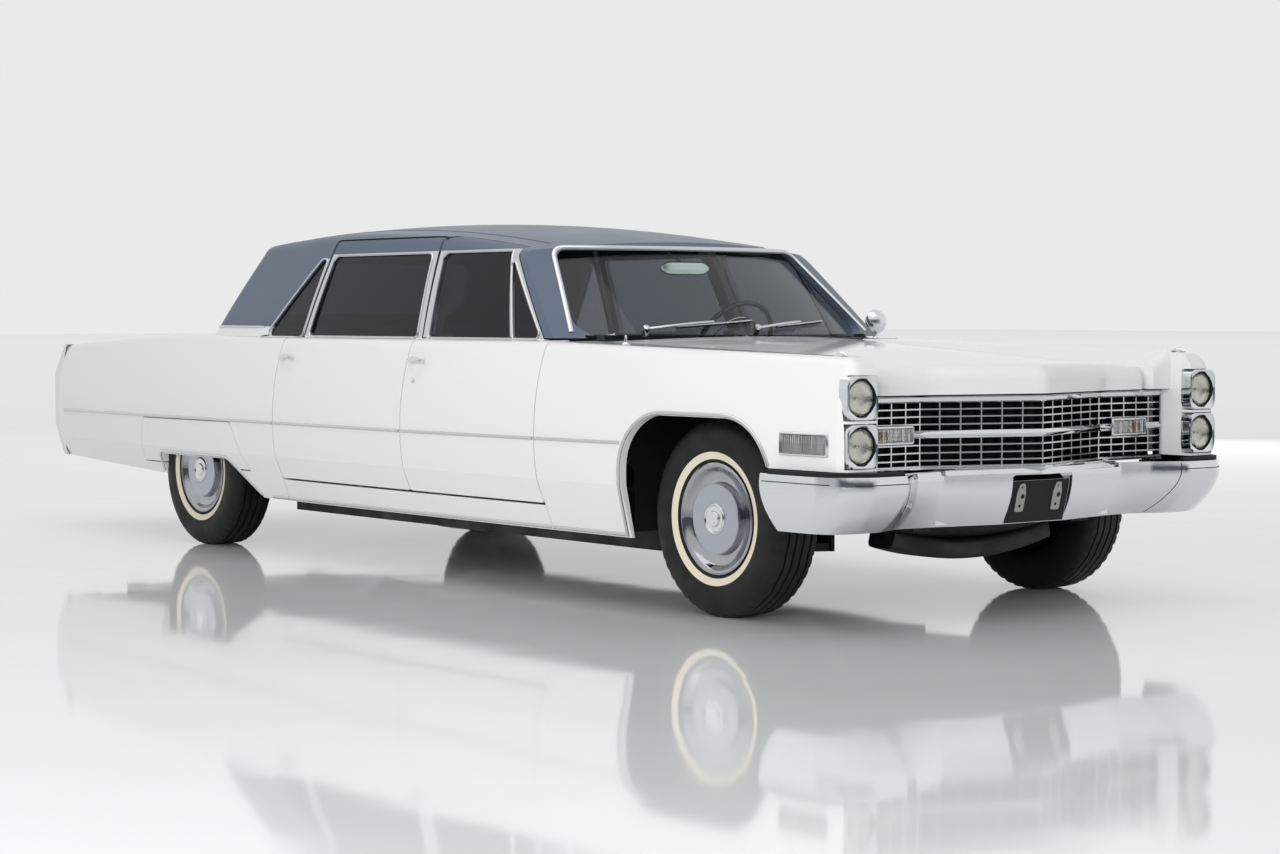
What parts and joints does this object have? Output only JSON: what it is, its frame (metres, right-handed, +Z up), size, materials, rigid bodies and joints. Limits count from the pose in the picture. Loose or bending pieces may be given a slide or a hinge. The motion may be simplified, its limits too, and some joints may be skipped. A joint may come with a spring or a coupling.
{
  "type": "limousine",
  "caption": "Long formal saloon with doors cut into a covered roof, a prow grille between stacked headlamps, skirted rear wheels and chrome bumpers.",
  "frame": {"origin": "on the ground under the middle of the car's length and width", "axes": "+X forward, +Y to the car's left, +Z up"},
  "size_m": [6.2098, 2.0202, 1.4898],
  "materials": {
    "body_paint": "glossy white paint",
    "roof_vinyl": "grained slate blue covering",
    "glass": "dark tinted side glass",
    "clear_glass": "clear curved glass",
    "chrome": "bright plate",
    "lamp": "clear fluted lens",
    "frame_black": "satin black paint",
    "cast": "painted casting",
    "rubber": "black rubber with a pale side band",
    "upholstery": "dark blue-green cloth",
    "trim_blue": "dark blue-green paint",
    "wheel_plastic": "moulded plastic"
  },
  "bodies": {
    "car_body": {"front_fender_left": "body_paint", "quarter_panel_left": "body_paint", "side_frame_left": "body_paint", "front_fender_right": "body_paint", "quarter_panel_right": "body_paint", "side_frame_right": "body_paint", "roof": "roof_vinyl", "windshield": "clear_glass", "rear_window": "glass", "quarter_glass": "glass", "headlamps": "lamp", "cowl": "body_paint", "fender_skirts": "body_paint", "rear_deck": "body_paint", "tail_panel": "chrome", "grille": "chrome", "front_bumper": "chrome", "parking_lamps": "lamp", "tail_lamps": "lamp", "rear_bumper": "chrome", "chassis_frame": "frame_black", "floor_pan": "frame_black", "inner_fenders": "frame_black", "engine_block": "cast", "driveline": "cast", "rear_axle": "frame_black", "front_suspension": "frame_black", "dashboard": "trim_blue", "front_seat": "upholstery", "rear_seat": "upholstery"},
    "hood": {"hood": "body_paint"},
    "trunk_lid": {"trunk_lid": "body_paint"},
    "steering_wheel": {"steering_wheel": "wheel_plastic"},
    "front_door_left": {"door_front_left": "body_paint", "front_door_glass_left": "glass"},
    "rear_door_left": {"door_rear_left": "body_paint", "rear_door_glass_left": "glass"},
    "knuckle_left": {"steering_knuckle_left": "cast"},
    "wheel_front_left": {"tyre_front_left": "rubber", "wheel_front_left": "chrome"},
    "wheel_rear_left": {"tyre_rear_left": "rubber", "wheel_rear_left": "chrome"},
    "front_door_right": {"door_front_right": "body_paint", "front_door_glass_right": "glass"},
    "rear_door_right": {"door_rear_right": "body_paint", "rear_door_glass_right": "glass"},
    "knuckle_right": {"steering_knuckle_right": "cast"},
    "wheel_front_right": {"tyre_front_right": "rubber", "wheel_front_right": "chrome"},
    "wheel_rear_right": {"tyre_rear_right": "rubber", "wheel_rear_right": "chrome"}
  },
  "joints": [
    {"name": "front_door_left_hinge", "type": "hinge", "parent": "car_body", "child": "front_door_left", "pos_m": [1.3325, 1.0035, 0.6], "axis": [0, 0, -1], "range_deg": [0, 68]},
    {"name": "rear_door_left_hinge", "type": "hinge", "parent": "car_body", "child": "rear_door_left", "pos_m": [0.3995, 1.011, 0.6], "axis": [0, 0, -1], "range_deg": [0, 68]},
    {"name": "front_door_right_hinge", "type": "hinge", "parent": "car_body", "child": "front_door_right", "pos_m": [1.3325, -1.0035, 0.6], "axis": [0, 0, 1], "range_deg": [0, 68]},
    {"name": "rear_door_right_hinge", "type": "hinge", "parent": "car_body", "child": "rear_door_right", "pos_m": [0.3995, -1.011, 0.6], "axis": [0, 0, 1], "range_deg": [0, 68]},
    {"name": "hood_hinge", "type": "hinge", "parent": "car_body", "child": "hood", "pos_m": [1.455, 0, 1.006], "axis": [0, -1, 0], "range_deg": [0, 48]},
    {"name": "trunk_hinge", "type": "hinge", "parent": "car_body", "child": "trunk_lid", "pos_m": [-1.816, 0, 0.986], "axis": [0, 1, 0], "range_deg": [0, 62]},
    {"name": "steer_right", "type": "hinge", "parent": "car_body", "child": "knuckle_right", "pos_m": [2.293, -0.655, 0.355], "axis": [0, 0, 1], "range_deg": [-33, 33]},
    {"name": "steer_left", "type": "hinge", "parent": "car_body", "child": "knuckle_left", "pos_m": [2.293, 0.655, 0.355], "axis": [0, 0, 1], "range_deg": [-33, 33]},
    {"name": "steering_wheel_turn", "type": "hinge", "parent": "car_body", "child": "steering_wheel", "pos_m": [0.873, 0.385, 0.96], "axis": [-0.8829, 0, 0.4695], "range_deg": [-528, 528]},
    {"name": "front_wheel_left_spin", "type": "hinge", "parent": "knuckle_left", "child": "wheel_front_left", "pos_m": [2.293, 0.794, 0.355], "axis": [0, 1, 0], "continuous": true},
    {"name": "rear_wheel_left_spin", "type": "hinge", "parent": "car_body", "child": "wheel_rear_left", "pos_m": [-1.512, 0.794, 0.355], "axis": [0, 1, 0], "continuous": true},
    {"name": "front_wheel_right_spin", "type": "hinge", "parent": "knuckle_right", "child": "wheel_front_right", "pos_m": [2.293, -0.794, 0.355], "axis": [0, 1, 0], "continuous": true},
    {"name": "rear_wheel_right_spin", "type": "hinge", "parent": "car_body", "child": "wheel_rear_right", "pos_m": [-1.512, -0.794, 0.355], "axis": [0, 1, 0], "continuous": true}
  ],
  "couplings": [
    {"joint": "steer_left", "follows": "steer_right", "ratio": 1},
    {"joint": "steering_wheel_turn", "follows": "steer_right", "ratio": 16}
  ]
}
